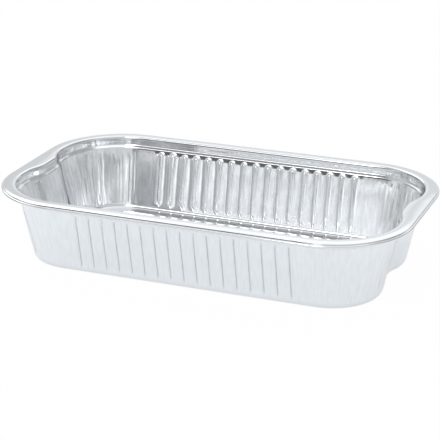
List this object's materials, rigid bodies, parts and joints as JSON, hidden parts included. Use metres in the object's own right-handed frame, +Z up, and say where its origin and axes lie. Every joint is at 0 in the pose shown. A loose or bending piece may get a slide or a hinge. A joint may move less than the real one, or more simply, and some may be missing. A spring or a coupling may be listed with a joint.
{
  "type": "aluminium foil tray",
  "caption": "Oblong pressed foil tray with fluted long walls, a stacking shoulder, a flat flange with a rolled rim and a finger recess in each short end.",
  "frame": {"origin": "middle of the underside, on the surface that the tray stands on", "axes": "+X along the length of the tray, +Y across it, +Z up out of its mouth"},
  "size_m": [0.2274, 0.1334, 0.0418],
  "materials": {
    "foil": "bright rolled foil, satin outside, with fine draw wrinkles"
  },
  "bodies": {
    "root": {"foil_tray": "foil"}
  },
  "joints": []
}
